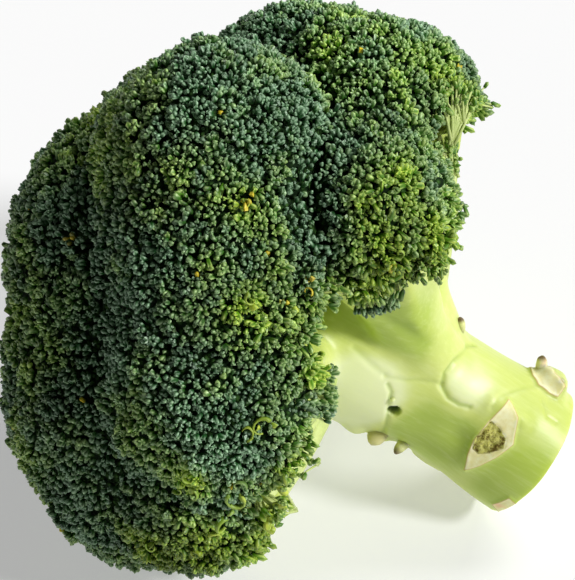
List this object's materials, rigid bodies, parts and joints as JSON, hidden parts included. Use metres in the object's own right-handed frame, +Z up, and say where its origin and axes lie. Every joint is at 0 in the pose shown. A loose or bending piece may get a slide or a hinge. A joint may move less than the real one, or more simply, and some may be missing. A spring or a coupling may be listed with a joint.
{
  "type": "broccoli head",
  "caption": "Broccoli head lying on its side: a thick pale cut stalk that branches into a wide domed crown of green florets covered in small buds.",
  "frame": {"origin": "on the surface that the head lies on, under the middle of its bounding box", "axes": "+Z up; the stalk's cut end points along +X and the crown faces -X and up"},
  "size_m": [0.1352, 0.1444, 0.1299],
  "materials": {
    "stalk": "smooth waxy pale green skin, a little glossy",
    "buds": "dull dark green buds with a grey waxy bloom"
  },
  "bodies": {
    "root": {"stalk": "stalk", "floret_crown": "buds", "floret_crown_near": "buds", "floret_crown_high": "buds", "floret_crown_far": "buds", "floret_near_high": "buds", "floret_near_mid": "buds", "floret_near_low": "buds", "floret_near_left": "buds", "floret_near_foot": "buds", "floret_near_hem": "buds", "floret_top": "buds", "floret_top_side": "buds", "floret_top_hem": "buds", "floret_far_left": "buds", "floret_far_foot": "buds", "floret_far_hem": "buds", "floret_far_side": "buds", "floret_under": "buds"}
  },
  "joints": []
}
